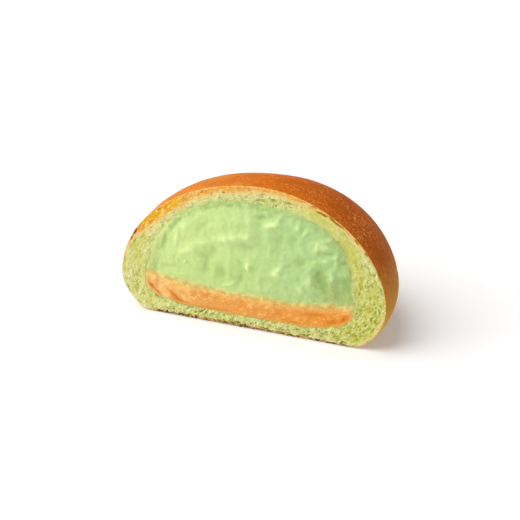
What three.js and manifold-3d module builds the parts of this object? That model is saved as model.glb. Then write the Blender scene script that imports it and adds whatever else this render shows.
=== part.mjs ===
// One half of a soft round cream bun, cut upright through its crown and standing on its flat base.
// The bread is a domed shell. Its hollow is full: a bed of apricot cream covers the bottom, and pale
// green cream fills the rest. Both fillings run from the cut face to the back of the hollow.
// Millimetres, +Z up. The cut face looks along -Y, and the origin is under the middle of the bun's box.

import * as THREE from "three";
import { ParametricGeometry } from "three/addons/geometries/ParametricGeometry.js";
import { ImprovedNoise } from "three/addons/math/ImprovedNoise.js";
import { mergeVertices } from "three/addons/utils/BufferGeometryUtils.js";
import Module from "manifold-3d";

// The outside and the hollow are both lumps that lean to one side, each drawn about an upright axis.
// On each side, reach is the widest half-width and flank the height where it is reached. From there a
// curve rises to the crown and another falls to the foot, which is flat inside footReach. An exponent
// of 2 makes a curve elliptical, and a larger one makes it squarer. depthRatio stretches a lump back.
const BUN = {
  axisX: 0,
  crown: 50,
  foot: 0,
  depthRatio: 1.075,
  left: { reach: 50.8, flank: 12, footReach: 40.5, shoulderPower: 1.95, heelPower: 1.65 },
  right: { reach: 41.4, flank: 15, footReach: 29, shoulderPower: 1.95, heelPower: 1.75 },
};
const HOLLOW = {
  axisX: -6,
  crown: 43.8,
  foot: 4,
  depthRatio: 1.08,
  left: { reach: 36.4, flank: 11, footReach: 0, shoulderPower: 2, heelPower: 3.2 },
  right: { reach: 36.2, flank: 13.4, footReach: 0, shoulderPower: 2.9, heelPower: 3 },
};

// The knife pressed the bread at the cut. A little behind it, the left shoulder springs back up. The
// spring starts left of the crown and above the flank, and is whole further out and higher up.
const SPRING = { height: 1.2, depth: 8, fromX: -8, toX: -30, fromZ: 14, toZ: 34 };

// The bed of apricot cream: its height in the middle, and how far it creeps up the hollow's wall.
const BED_HEIGHT = 11.7;
const BED_RIM_RISE = 2.7;
const BED_RIM_POWER = 3;

// The cut face of the fillings sinks behind the cut at the rim, swells out in the middle, and is lumpy.
const FACE_RIM_SINK = 0.5;
const FACE_SWELL = 0.7;
const FACE_SWELL_POWER = 4;
const FACE_LUMP_HEIGHT = 0.9;
const FACE_LUMP_SPAN = 9;

// The crown-to-foot rows of a lump, and the steps of the faceted surfaces.
const SHOULDER_ROWS = 16;
const HEEL_ROWS = 9;
const FOOT_ROWS = 2;
const BUN_TURNS = 84;
const HOLLOW_TURNS = 56;
const FACE_STEPS = { across: 40, up: 22 };
const BED_STEPS = { across: 26, back: 14 };

// Touching pieces keep this gap, and the cutting blocks reach this far past the bun. Points of one
// surface that are closer than the weld are the same point.
const GAP = 0.3;
const MARGIN = 10;
const WELD = 1e-4;

const FINISHES = {
  bread: { color: 0xc9772f, roughness: 0.45, metalness: 0 },
  greenCream: { color: 0xc5e08f, roughness: 0.35, metalness: 0 },
  apricotCream: { color: 0xf0a854, roughness: 0.4, metalness: 0 },
};

const wasm = await Module();
wasm.setup();
const noise = new ImprovedNoise();

// A value that a lump's two sides hold, at a share of the way from left (0) to right (1).
function between(lump, key, share) {
  return THREE.MathUtils.lerp(lump.left[key], lump.right[key], share);
}

// How far a lump reaches back from the cut face at its widest.
function depthOf(lump) {
  return between(lump, "reach", 0.5) * lump.depthRatio;
}

// A point on a lump's skin. turn goes once round the axis from the right-hand side, and fall goes from
// the crown (0) over the flank to the middle of the foot (1).
function skinPoint(lump, turn, fall, target) {
  const angle = (turn % 1) * 2 * Math.PI;
  const share = (1 + Math.cos(angle)) / 2;
  const row = fall * (SHOULDER_ROWS + HEEL_ROWS + FOOT_ROWS);
  const reach = between(lump, "reach", share);
  const flank = between(lump, "flank", share);
  const footReach = between(lump, "footReach", share);
  let radius;
  let height;
  if (row <= SHOULDER_ROWS) {
    const sweep = (row / SHOULDER_ROWS) * (Math.PI / 2);
    const power = 2 / between(lump, "shoulderPower", share);
    radius = reach * Math.sin(sweep) ** power;
    height = flank + (lump.crown - flank) * Math.cos(sweep) ** power;
  } else if (row <= SHOULDER_ROWS + HEEL_ROWS) {
    const sweep = ((row - SHOULDER_ROWS) / HEEL_ROWS) * (Math.PI / 2);
    const power = 2 / between(lump, "heelPower", share);
    radius = footReach + (reach - footReach) * Math.cos(sweep) ** power;
    height = flank - (flank - lump.foot) * Math.sin(sweep) ** power;
  } else {
    radius = footReach * (1 - (row - SHOULDER_ROWS - HEEL_ROWS) / FOOT_ROWS);
    height = lump.foot;
  }
  const x = lump.axisX + radius * Math.cos(angle);
  const y = radius * lump.depthRatio * Math.sin(angle);
  target.set(x, y, height);
}

// The outside of the bread, with the sprung-back shoulder.
function bunPoint(turn, fall, target) {
  skinPoint(BUN, turn, fall, target);
  const behindCut = THREE.MathUtils.smoothstep(target.y, 0, SPRING.depth);
  const leftward = THREE.MathUtils.smoothstep(-target.x, -SPRING.fromX, -SPRING.toX);
  const upward = THREE.MathUtils.smoothstep(target.z, SPRING.fromZ, SPRING.toZ);
  target.z += SPRING.height * behindCut * leftward * upward;
}

// How far a place is from a lump's axis on the cut face, as a share of the way to its outline.
function faceShare(lump, x, z) {
  const side = x < lump.axisX ? lump.left : lump.right;
  const middle = (lump.crown + lump.foot) / 2;
  return Math.hypot((x - lump.axisX) / side.reach, (z - middle) / (lump.crown - middle));
}

// The same for a place on the bed, seen from above.
function planShare(lump, x, y) {
  const side = x < lump.axisX ? lump.left : lump.right;
  return Math.hypot((x - lump.axisX) / side.reach, y / depthOf(lump));
}

// Where the fillings' cut surface lies behind (+) or in front of (-) the cut through the bread.
function fillingFace(x, z) {
  const towardsRim = Math.min(faceShare(HOLLOW, x, z), 1) ** FACE_SWELL_POWER;
  const lumps = noise.noise(x / FACE_LUMP_SPAN, z / FACE_LUMP_SPAN, 0);
  return THREE.MathUtils.lerp(-FACE_SWELL, FACE_RIM_SINK, towardsRim) + FACE_LUMP_HEIGHT * lumps;
}

// The height of the bed of apricot cream.
function bedTop(x, y) {
  return BED_HEIGHT + BED_RIM_RISE * Math.min(planShare(HOLLOW, x, y), 1) ** BED_RIM_POWER;
}

// A closed solid from a geometry whose faces meet edge to edge.
function solidOf(geometry) {
  geometry.deleteAttribute("normal");
  geometry.deleteAttribute("uv");
  const merged = mergeVertices(geometry, WELD);
  const corners = merged.index.array;
  const triangles = [];
  for (let i = 0; i < corners.length; i += 3) {
    const [a, b, c] = corners.slice(i, i + 3);
    if (a !== b && b !== c && c !== a) triangles.push(a, b, c);
  }
  const vertProperties = merged.getAttribute("position").array;
  const triVerts = new Uint32Array(triangles);
  return new wasm.Manifold(new wasm.Mesh({ numProp: 3, vertProperties, triVerts }));
}

// A lump's skin as a solid.
function lumpSolid(point, turns) {
  const rows = SHOULDER_ROWS + HEEL_ROWS + FOOT_ROWS;
  const geometry = new ParametricGeometry((turn, fall, target) => point(1 - turn, fall, target), turns, rows);
  return solidOf(geometry);
}

// A block with its lowest and highest corners here. reshape may move a point of its subdivided surface.
function block(low, high, steps, reshape) {
  const size = new THREE.Vector3().subVectors(high, low);
  const middle = new THREE.Vector3().addVectors(low, high).multiplyScalar(0.5);
  const geometry = new THREE.BoxGeometry(size.x, size.y, size.z, steps.across, steps.back, steps.up);
  geometry.translate(middle.x, middle.y, middle.z);
  const places = geometry.getAttribute("position");
  const place = new THREE.Vector3();
  for (let i = 0; i < places.count; i += 1) {
    place.fromBufferAttribute(places, i);
    reshape(place);
    places.setXYZ(i, place.x, place.y, place.z);
  }
  return solidOf(geometry);
}

const FAR_LEFT = -BUN.left.reach - MARGIN;
const FAR_RIGHT = BUN.right.reach + MARGIN;
const FAR_BACK = depthOf(BUN) + MARGIN;
const FAR_TOP = BUN.crown + MARGIN;

// All that lies behind the knife's cut.
function behindTheCut() {
  const low = new THREE.Vector3(FAR_LEFT, 0, -MARGIN);
  const high = new THREE.Vector3(FAR_RIGHT, FAR_BACK, FAR_TOP);
  return block(low, high, { across: 1, back: 1, up: 1 }, () => {});
}

// All that lies behind the fillings' lumpy cut surface, as wide as the hollow.
function behindTheFace() {
  const low = new THREE.Vector3(HOLLOW.axisX - HOLLOW.left.reach, -MARGIN, HOLLOW.foot);
  const high = new THREE.Vector3(HOLLOW.axisX + HOLLOW.right.reach, FAR_BACK, HOLLOW.crown);
  return block(low, high, { ...FACE_STEPS, back: 1 }, (place) => {
    const onFront = place.y < low.y + GAP;
    if (onFront) place.y = fillingFace(place.x, place.z);
  });
}

// All that lies under the bed's top, raised or lowered by lift.
function underTheBedTop(lift) {
  const low = new THREE.Vector3(HOLLOW.axisX - HOLLOW.left.reach, -MARGIN, -MARGIN);
  const high = new THREE.Vector3(HOLLOW.axisX + HOLLOW.right.reach, FAR_BACK, FAR_TOP);
  return block(low, high, { ...BED_STEPS, up: 1 }, (place) => {
    const onTop = place.z > high.z - GAP;
    if (onTop) place.z = bedTop(place.x, place.y) + lift;
  });
}

// The hollow's shape drawn in by the gap, which is what the fillings fill.
function drawnIn(lump, gap) {
  const narrow = (side) => ({ ...side, reach: side.reach - gap });
  return {
    ...lump,
    crown: lump.crown - gap,
    foot: lump.foot + gap,
    left: narrow(lump.left),
    right: narrow(lump.right),
  };
}

function breadSolid() {
  const hollow = lumpSolid((turn, fall, target) => skinPoint(HOLLOW, turn, fall, target), HOLLOW_TURNS);
  return lumpSolid(bunPoint, BUN_TURNS).subtract(hollow).intersect(behindTheCut());
}

function fillingSolids() {
  const room = drawnIn(HOLLOW, GAP);
  const filling = lumpSolid((turn, fall, target) => skinPoint(room, turn, fall, target), HOLLOW_TURNS);
  const cut = filling.intersect(behindTheFace());
  return {
    green: cut.subtract(underTheBedTop(GAP / 2)),
    apricot: cut.intersect(underTheBedTop(-GAP / 2)),
  };
}

// A named mesh of a solid, in its own material.
function meshOf(name, solid, finish) {
  const { vertProperties, triVerts } = solid.getMesh();
  const geometry = new THREE.BufferGeometry();
  geometry.setAttribute("position", new THREE.BufferAttribute(vertProperties, 3));
  geometry.setIndex(new THREE.BufferAttribute(triVerts, 1));
  geometry.computeVertexNormals();
  const mesh = new THREE.Mesh(geometry, new THREE.MeshStandardMaterial(finish));
  mesh.name = name;
  return mesh;
}

const fillings = fillingSolids();
const bun = new THREE.Group();
bun.add(meshOf("bread", breadSolid(), FINISHES.bread));
bun.add(meshOf("green_cream", fillings.green, FINISHES.greenCream));
bun.add(meshOf("apricot_cream", fillings.apricot, FINISHES.apricotCream));

// The middle of the base of the bun's box goes to the origin.
const box = new THREE.Box3().setFromObject(bun);
const middle = box.getCenter(new THREE.Vector3());
bun.position.set(-middle.x, -middle.y, -box.min.z);

const part = new THREE.Group();
part.add(bun);

export default part;
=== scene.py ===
import math
from itertools import product

import bpy
import numpy as np
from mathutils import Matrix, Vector


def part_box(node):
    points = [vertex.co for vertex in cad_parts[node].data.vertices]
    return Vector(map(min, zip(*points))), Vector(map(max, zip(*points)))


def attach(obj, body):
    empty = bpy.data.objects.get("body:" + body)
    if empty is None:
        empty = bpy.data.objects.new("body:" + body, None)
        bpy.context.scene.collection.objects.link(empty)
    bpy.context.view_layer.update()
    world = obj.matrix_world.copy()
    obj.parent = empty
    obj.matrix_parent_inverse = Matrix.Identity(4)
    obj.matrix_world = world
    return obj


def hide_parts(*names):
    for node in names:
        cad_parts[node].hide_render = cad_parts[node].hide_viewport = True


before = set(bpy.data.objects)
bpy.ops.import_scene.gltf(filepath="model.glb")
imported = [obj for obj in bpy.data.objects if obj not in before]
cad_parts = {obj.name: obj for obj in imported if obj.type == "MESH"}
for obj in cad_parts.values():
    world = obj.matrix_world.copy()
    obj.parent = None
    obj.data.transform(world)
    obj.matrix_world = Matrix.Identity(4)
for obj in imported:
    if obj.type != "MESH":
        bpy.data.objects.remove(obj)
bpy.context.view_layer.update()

# One half of a soft round cream bun, cut upright through its crown. The shapes are worked out in
# millimetres from under the crown: x to the right along the cut, y back from the cut and z up.
MM = 0.001

# The outside and the hollow are lumps that lean to one side, drawn about an upright axis. Pairs hold the
# value on the left and on the right. reach is the widest half-width, and flank the height where it is
# reached. A curve rises from there to the crown, and another falls to the foot, flat inside foot_reach.
BUN = {
    "axis": 0.0,
    "crown": 50.0,
    "foot": 0.0,
    "depth_ratio": 1.075,
    "reach": (50.8, 41.4),
    "flank": (12.0, 15.0),
    "foot_reach": (40.5, 29.0),
    "shoulder_power": (1.95, 1.95),
    "heel_power": (1.65, 1.75),
}
HOLLOW = {
    "axis": -6.0,
    "crown": 43.8,
    "foot": 4.0,
    "depth_ratio": 1.08,
    "reach": (36.4, 36.2),
    "flank": (11.0, 13.4),
    "foot_reach": (0.0, 0.0),
    "shoulder_power": (2.0, 2.9),
    "heel_power": (3.2, 3.0),
}

# The bed of apricot cream: its height in the middle, and how far it creeps up the hollow's wall.
BED_HEIGHT = 11.7
BED_RIM_RISE = 2.7
BED_RIM_POWER = 3

# The fillings' cut surface swells out in the middle, sinks at the wall and curls back there, less so on the
# right. Its relief dies down at the wall and at the seam, which is frayed.
FACE_SWELL = 0.6
FACE_SWELL_POWER = 4
FACE_SINK = 0.15
RIGHT_SINK_SHARE = 0.2
CALM_WALL = {"right_start": -1.5, "end": 1.2}
CALM_SEAM = 1.5
FRAYED_SEAM = (1.5, 0.2)

# The fillings reach a little way into the bread and into each other, so that no gap shows. One is over the
# seam between them and one under it.
REACH_IN = 0.25
BED_OVERLAP = 0.4
OVER_SEAM = 1
UNDER_SEAM = -1

# How the bread changes round the cut. Each row starts with the direction from a point near the middle of
# the cut in degrees: 0 is right, 90 up and 180 left. Gold is the width of the golden band of cut crust. The
# rest are strengths: how open and how yellow the crumb is, how moist beside the cream, the dark crust of the
# base, the pale line along the rim and the thin line of crust.
CUT_MIDDLE = (-4.7, 13.5)
RIM_COLUMNS = ("turn", "open", "yellow", "moist", "gold", "base", "pale", "line")
RIM_ROWS = [
    (-90, 1.5, 0.1, 1.0, 0.0, 0.8, 0.0, 0.0),
    (-23, 1.5, 0.3, 0.8, 0.0, 0.8, 0.3, 0.0),
    (-19, 1.1, 0.7, 0.7, 0.0, 0.0, 1.1, 0.0),
    (-8, 1.1, 0.75, 0.5, 0.0, 0.0, 1.4, 0.0),
    (5, 1.1, 0.8, 0.3, 0.1, 0.0, 0.8, 0.1),
    (15, 0.8, 0.7, 0.0, 0.15, 0.0, 0.2, 0.3),
    (30, 0.55, 0.6, 0.0, 0.9, 0.0, 0.6, 0.3),
    (40, 0.5, 0.6, 0.1, 1.2, 0.0, 0.8, 0.3),
    (52, 0.45, 0.6, 0.2, 1.6, 0.0, 0.85, 0.4),
    (75, 0.85, 0.3, 0.6, 1.8, 0.0, 0.7, 0.8),
    (99, 0.75, 0.1, 0.8, 2.2, 0.0, 0.5, 1.0),
    (116, 0.65, 0.1, 0.7, 2.4, 0.0, 0.6, 1.0),
    (126, 0.6, 0.15, 0.6, 2.6, 0.0, 0.6, 1.0),
    (136, 0.7, 0.3, 0.5, 3.5, 0.0, 0.5, 1.0),
    (148, 0.65, 0.35, 0.6, 4.6, 0.0, 0.25, 1.0),
    (159, 0.6, 0.5, 0.6, 3.0, 0.0, 0.1, 1.0),
    (166, 0.6, 0.6, 0.6, 0.8, 0.0, 0.1, 1.0),
    (176, 0.55, 0.45, 0.4, 0.4, 0.0, 0.1, 0.8),
    (186, 0.75, 0.35, 0.7, 0.0, 0.0, 0.3, 0.0),
    (199, 0.7, 0.3, 1.0, 0.0, 0.0, 0.2, 0.0),
    (201, 1.0, 0.3, 1.0, 0.0, 1.0, 0.0, 0.0),
    (206, 1.2, 0.25, 1.0, 0.0, 1.0, 0.0, 0.0),
    (210, 1.4, 0.4, 0.8, 0.0, 0.8, 0.0, 0.0),
    (225, 1.5, 0.3, 0.8, 0.0, 0.8, 0.0, 0.0),
]

# Marks as seen from the front: x and z of the middle, the direction in degrees, the half-length, the
# half-width and the strength. In the green cream the strength is how far a mark stands out, and raised marks
# get a painted highlight and sunken ones painted shade. In the apricot cream it is how deep its colour is, in
# the crumb how yellow, how brown or how deep a pore it is, with painted shade in the pores, and in the crust
# how strong the painted glints are or how burnt it is.
GLINT_MARKS = [(28.5, 38.5, -54, 8.0, 3.5, 1.0), (14.0, 47.2, -20, 7.0, 1.6, 0.6)]
BURNT_MARKS = [(-45.8, 27.3, 62, 1.3, 0.5, 1.0), (-47.1, 24.6, 66, 1.3, 0.3, 0.7)]
BROWN_DASHES = [
    (13.0, 47.6, -12, 1.2, 0.2, 0.7),
    (16.4, 46.5, -20, 1.2, 0.22, 0.8),
    (18.6, 46.1, -22, 1.0, 0.2, 0.7),
    (18.7, 44.7, -15, 1.4, 0.4, 1.0),
    (20.3, 44.1, -20, 0.8, 0.4, 1.0),
    (24.0, 42.2, -43, 4.5, 0.6, 0.3),
    (22.8, 43.2, -40, 1.0, 0.45, 0.8),
    (24.8, 41.8, -25, 0.9, 0.35, 0.8),
    (26.3, 41.0, -35, 1.2, 0.25, 0.6),
    (28.4, 39.3, -44, 1.8, 0.2, 0.5),
    (31.2, 36.9, -48, 1.2, 0.3, 0.9),
    (34.4, 33.3, -50, 0.8, 0.35, 0.9),
    (36.2, 30.5, -60, 1.8, 0.18, 0.5),
    (38.8, 26.2, -68, 2.6, 0.3, 0.6),
    (-38.6, 5.9, -45, 1.0, 0.22, 0.8),
    (-36.6, 5.2, -30, 0.8, 0.22, 0.7),
    (-31.5, 4.5, -5, 1.4, 0.2, 0.7),
    (-28.0, 4.2, -5, 1.0, 0.2, 0.6),
    (-22.3, 44.8, 20, 0.5, 0.35, 0.7),
    (-14.4, 46.2, 15, 0.9, 0.35, 0.7),
    (-16.0, 44.0, 15, 0.6, 0.3, 0.6),
    (-28.5, 41.8, 40, 0.9, 0.3, 0.5),
    (-38.5, 33.6, 45, 0.7, 0.35, 0.5),
]
CRUMB_TINTS = [
    (28.6, 35.0, 118, 6.5, 2.4, 0.2),
    (31.5, 25.0, 98, 6.0, 1.8, 0.1),
    (35.6, 30.5, 118, 5.5, 1.8, -0.7),
    (39.2, 20.0, 100, 5.0, 1.0, -0.4),
    (36.5, 8.0, 60, 6.0, 3.0, 0.3),
    (15.0, 46.2, -12, 6.0, 1.2, 0.4),
    (21.0, 42.3, -25, 4.5, 0.9, 0.6),
    (-40.5, 26.0, 75, 7.0, 1.8, -0.5),
    (-44.5, 10.0, 90, 8.0, 1.2, 0.3),
]
GREEN_MARKS = [
    (2.0, 37.3, 20, 3.4, 1.1, 0.8),
    (4.3, 39.8, 50, 2.0, 0.7, 0.45),
    (-13.5, 30.0, 15, 6.5, 1.7, 0.7),
    (-21.5, 27.3, 6, 3.5, 0.9, 0.5),
    (-26.5, 25.2, 30, 2.4, 1.8, 0.6),
    (-28.6, 23.0, 20, 2.2, 1.1, 0.6),
    (-31.5, 26.5, 82, 3.0, 0.7, 0.4),
    (-28.8, 32.0, 60, 2.0, 1.4, 0.3),
    (-36.2, 26.0, 80, 4.2, 0.9, 0.3),
    (-6.4, 21.4, 90, 1.4, 0.9, 0.75),
    (-2.6, 17.5, 90, 2.4, 1.0, 0.4),
    (2.5, 20.2, 12, 3.0, 1.2, 0.45),
    (5.0, 23.4, 50, 2.6, 0.9, 0.4),
    (10.7, 37.6, 65, 2.2, 0.9, 0.6),
    (13.4, 36.4, 50, 2.0, 0.8, 0.55),
    (20.2, 34.8, 22, 3.4, 0.9, 0.6),
    (20.6, 33.0, 0, 2.4, 0.8, 0.45),
    (17.2, 31.5, 75, 2.2, 0.9, 0.55),
    (19.2, 27.9, 25, 3.4, 1.0, 0.5),
    (24.0, 29.0, 85, 3.2, 0.9, 0.4),
    (14.5, 19.6, 35, 3.4, 1.3, 0.5),
    (18.0, 22.8, 80, 3.0, 1.4, -0.8),
    (21.4, 26.2, 45, 3.0, 0.9, -0.6),
    (19.6, 19.7, 95, 2.4, 1.3, -0.7),
    (22.4, 22.8, 80, 2.6, 1.5, 0.8),
    (27.2, 28.2, 10, 1.3, 0.7, -0.9),
    (28.4, 22.5, 10, 2.8, 1.2, -0.5),
    (20.5, 30.6, 8, 3.4, 0.8, -0.5),
    (17.5, 40.3, -28, 3.6, 0.8, -0.5),
    (-20.0, 23.8, 60, 4.5, 2.6, -0.5),
    (-9.5, 22.8, -58, 2.6, 1.0, -0.5),
    (-6.0, 28.2, 20, 3.6, 2.0, -0.45),
    (-20.8, 33.8, 40, 2.8, 1.1, -0.4),
    (-1.2, 39.2, 8, 3.4, 0.9, -0.45),
    (9.6, 33.4, 70, 3.4, 1.8, -0.5),
    (12.4, 26.4, 20, 3.0, 1.6, -0.45),
    (24.5, 20.0, 15, 8.0, 4.5, -0.5),
    (-15.0, 18.0, 10, 9.0, 2.5, -0.3),
    (4.0, 31.0, 75, 9.0, 2.5, -0.25),
    (-31.0, 30.0, 50, 7.0, 4.0, 0.15),
    (-12.0, 37.0, 10, 9.0, 2.5, 0.4),
    (-31.2, 19.3, 120, 0.7, 0.4, 0.5),
    (-28.3, 19.4, 60, 0.8, 0.4, 0.5),
    (-33.0, 16.8, 5, 4.5, 0.8, -0.4),
    (-21.5, 18.5, 80, 3.0, 0.8, -0.35),
    (-18.5, 17.0, 85, 3.0, 0.9, 0.3),
    (-13.0, 19.5, 85, 3.0, 0.9, 0.3),
    (-9.5, 16.0, 70, 2.4, 1.0, -0.35),
    (-13.0, 14.2, 25, 2.4, 0.6, 0.5),
    (-29.0, 14.8, 0, 2.0, 0.6, 0.4),
]
# The green marks stand out towards the viewer, which moves them down and to the left in the picture.
MARK_SHIFT = np.array([0.6, 0.0, 0.5])
APRICOT_MARKS = [
    (-32.3, 7.2, -38, 3.4, 0.9, 0.9),
    (-40.4, 9.0, -50, 1.6, 0.8, 1.0),
    (-38.0, 6.9, -40, 1.8, 0.6, 0.9),
    (-30.5, 5.5, -8, 3.0, 0.4, 0.7),
    (-38.2, 11.6, 85, 1.8, 0.5, 0.4),
    (-41.0, 12.4, 80, 1.6, 0.5, 0.4),
    (-35.0, 13.2, -20, 1.2, 0.5, 0.4),
    (-33.0, 10.2, 20, 1.4, 0.5, 0.35),
    (-20.0, 4.6, 0, 9.0, 0.5, 0.6),
    (-20.5, 9.4, 20, 1.8, 0.7, 0.5),
    (-8.0, 8.5, 70, 2.0, 1.0, 0.3),
    (4.0, 7.0, 10, 2.2, 0.8, 0.4),
    (10.0, 5.0, 0, 3.2, 0.5, 0.6),
    (17.5, 9.3, 5, 4.0, 0.9, 0.6),
    (23.3, 7.6, 20, 1.8, 0.9, 0.9),
    (27.2, 9.2, 50, 2.0, 0.9, 0.9),
]
# The listed pores are sunk and darkened with painted shade; the two broad ones beside the cream on the right
# add mostly painted shade.
CRUMB_PORES = [
    (-1.0, 45.4, 15, 0.9, 0.35, 0.8),
    (2.7, 46.1, 10, 0.9, 0.35, 0.6),
    (8.0, 46.0, -10, 1.2, 0.4, 0.9),
    (3.5, 44.5, 0, 0.45, 0.35, 1.0),
    (7.0, 44.4, 0, 0.4, 0.3, 0.6),
    (27.2, 33.5, 115, 4.5, 1.2, 0.3),
    (21.0, 39.4, 135, 3.5, 0.8, 0.15),
    (36.6, 26.4, 10, 0.9, 0.3, 0.8),
    (37.4, 26.2, 80, 0.8, 0.3, 0.7),
    (36.6, 22.6, -40, 1.1, 0.35, 0.8),
    (38.0, 13.0, -70, 1.5, 0.45, 0.8),
    (37.4, 16.5, 40, 0.7, 0.4, 0.7),
    (34.4, 6.6, 45, 1.0, 0.4, 0.7),
    (-38.0, 5.6, -45, 1.6, 0.3, 0.8),
    (-35.2, 4.2, 0, 0.6, 0.35, 0.7),
    (-28.0, 4.4, -10, 1.0, 0.3, 0.6),
]

# The numbers of points and loops in the meshes, and their spacing in millimetres.
RIM_POINTS = 1080
RING_LOOPS = 50
OUTSIDE_LOOPS = 104
OUTSIDE_CROWDING = 1.35
OUTSIDE_SPACING = 0.72
LEAST_NEXT_LOOP = 0.7
LOOP_SLACK = 0.85
HOLLOW_LOOPS = 14
HOLLOW_SPACING = 2.5
FILLING_LOOPS = 12
FILLING_DEPTH_SHARE = 0.93
GREEN_GRID = {"columns": 340, "rows": 150}
APRICOT_GRID = {"columns": 340, "rows": 50}
DENSE = 1800
HALVINGS = 36
WALL_STRETCHES = 60
FAR = 80.0

NOISE_CELLS = 256
NOISE_GAIN = 1.7
PIT_REACH = 0.85

# Waves in layers of noise: the height, or the heights on the left and the right, the span and the seed.
WALL_WAVES = [((0.3, 0.5), 4.5, 61), ((0.15, 0.3), 1.5, 62)]
CRUMB_WAVES = [(0.15, 6.0, 14), (0.1, 1.8, 15)]
TINT_WAVES = [((0.6, 0.0), (1.5, 1.0, 7.0), 17), ((0.15, 0.4), 2.6, 18)]
CRUST_WAVES = [(0.22, 15.0, 21), (0.06, 5.0, 22), (0.035, 1.7, 23)]
BAKE_WAVES = [(3.0, 12.0, 24)]
FRAY_WAVES = [(0.3, 1.6, 25), (0.2, 6.0, 26)]
BROWN_WAVES = [(0.15, 9.0, 27)]
BED_WAVES = [(0.35, 6.0, 31), (0.15, 1.9, 32)]
SEAM_WAVES = [(0.12, 1.1, 33)]
GREEN_WAVES = [
    (0.3, 7.0, 41),
    ((0.2, 0.34), 3.4, 42),
    ((0.09, 0.15), 1.4, 43),
    ((0.08, 0.04), (1.6, 1.0, 5.0), 44),
]
APRICOT_WAVES = [(0.25, 5.0, 51), (0.14, 1.9, 52), (0.09, 0.8, 53), (0.14, (4.5, 1.0, 0.9), 54)]
APRICOT_MARK_DEPTH = 0.25

# The crumb's pores are pits, and strokes along its fibres, which run along the rim, and aslant low in the
# bun. Their noise has a span and a seed.
FIBRE_STRETCH = 4
WIDE_SQUEEZE = 0.45
FIBRES = (2.2, 16)
SLANTS = ((1.0, 1.0, 2.4), 13)
WIDE_PITS = (2.2, 11)
SMALL_PITS = (0.9, 12)
CLUMPS = (2.6, 19)
CLUMP_NOISE = (-0.4, 0.5)
CLUMP_OPEN = (0.35, 1.2)
STROKE_GAIN = 1.5
STROKE_START = 0.3
STREAK_SWELL = 0.1
PORE_DEPTH = {"wide": 0.35, "small": 0.3, "stroke": 0.3, "marked": 0.4}
# How strongly the pits are darkened with painted shade.
PORE_SHADE = {"wide": 0.7, "small": 0.5}
PORES_FROM_RIM = (0.2, 0.7)
LIP_OPEN = (1.05, 0.55)
LIP_WIDTH = 4.0
PAST_LIP_OPEN = 1.1

# Rounded edges: the depth and the width.
LIP_ROUNDING = (0.08, 0.8)
RIM_ROUNDING = (0.15, 0.35)
CURL = (0.12, 0.9)

# Changes from place to place: where each starts and where it is complete along x, y or z, and by how much.
SPRING = {"x": (-8.0, -30.0), "y": (0.0, 8.0), "z": (14.0, 34.0), "by": 1.2}
WALL_UNEVEN = {"x": (-10.0, 20.0)}
GREEN_UNEVEN = {"x": (-20.0, 18.0)}
CRUMB_PATCHY = {"x": (-42.0, -30.0)}
CRUMB_SLANTED = {"z": (5.5, 3.5)}
LIP_RIGHT = {"x": (-5.0, 20.0)}
# The next change is painted shade on the crumb beside the cream on the right.
WALL_SHADE = {"x": (16.0, 26.0), "z": (8.0, 14.0), "by": 0.8}
CRUST_RELIEF = {"y": (0.0, 1.5), "z": (0.2, 4.0)}
CRUST_LIFT = 0.35
CRUST_SAG = {"z": (18.0, 34.0), "by": -0.55}
BASE_FRAY = {"y": (4.0, 0.0), "z": (1.2, 0.0)}
FRAY_HEIGHT = 0.25
BAKED_Z = (1.0, 40.0)
# The next change browns the crust to the right: partly real browning, partly painted shade.
BROWNED_AND_SHADED = {"x": (-36.0, 30.0)}
PALER_AT_CUT = {"y": (8.0, 0.0), "by": 0.35}
BURNT = {"y": (1.2, 0.0)}
UNDERSIDE = {"z": (0.2, 0.0)}
FACE_LEFT = {"x": (24.0, -4.0)}
CREAM_RIGHT = {"x": (-42.0, 28.0)}
# The next change is where the green cream gets painted shade low down.
CREAM_LOW = {"z": (27.0, 16.0)}
SEAM_LIFT = {"x": (28.0, 30.5), "by": 1.2}
# The next table widens the strip of painted shade inside the hollow's wall, on the left and the right.
SHADE_STRIP_WIDER = [{"x": (-28.0, -38.0), "by": 2.0}, {"x": (14.0, 24.0), "by": 1.3}]

CRUST_LOOK = 0
CRUMB_LOOK = 1

bread_low, bread_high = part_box("bread")
UNDER_CROWN = np.array([bread_high.x - BUN["reach"][1] * MM, bread_low.y, bread_low.z])


def to_frame(points):
    """Millimetres from under the crown as metres in the shared frame."""
    return points * MM + UNDER_CROWN


def mix(first, second, share):
    """The value at a share of the way from the first to the second."""
    return first + (second - first) * share


def rise(start, end, value):
    """0 before start and 1 after end, with a smooth change between them."""
    share = np.clip((value - start) / (end - start), 0, 1)
    return share * share * (3 - 2 * share)


def cell_numbers(cells, shuffle):
    """A number for each cell of a grid in space, in no visible order."""
    number = np.zeros(len(cells), dtype=int)
    for axis in range(3):
        number = shuffle[(number + cells[:, axis]) % NOISE_CELLS]
    return number


def noise(places, span, seed):
    """Smooth noise from about -1 to 1 at rows of x, y and z, with waves about span long."""
    random = np.random.default_rng(seed)
    slopes = random.normal(size=(NOISE_CELLS, 3))
    slopes /= np.linalg.norm(slopes, axis=1, keepdims=True)
    shuffle = random.permutation(NOISE_CELLS)
    scaled = places / np.asarray(span)
    cells = np.floor(scaled).astype(int)
    within = scaled - cells
    fade = within**3 * (within * (within * 6 - 15) + 10)
    total = np.zeros(len(places))
    for corner in product((0, 1), repeat=3):
        slope = slopes[cell_numbers(cells + corner, shuffle)]
        weight = np.where(corner, fade, 1 - fade).prod(axis=1)
        total += weight * ((within - corner) * slope).sum(axis=1)
    return total * NOISE_GAIN


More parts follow.
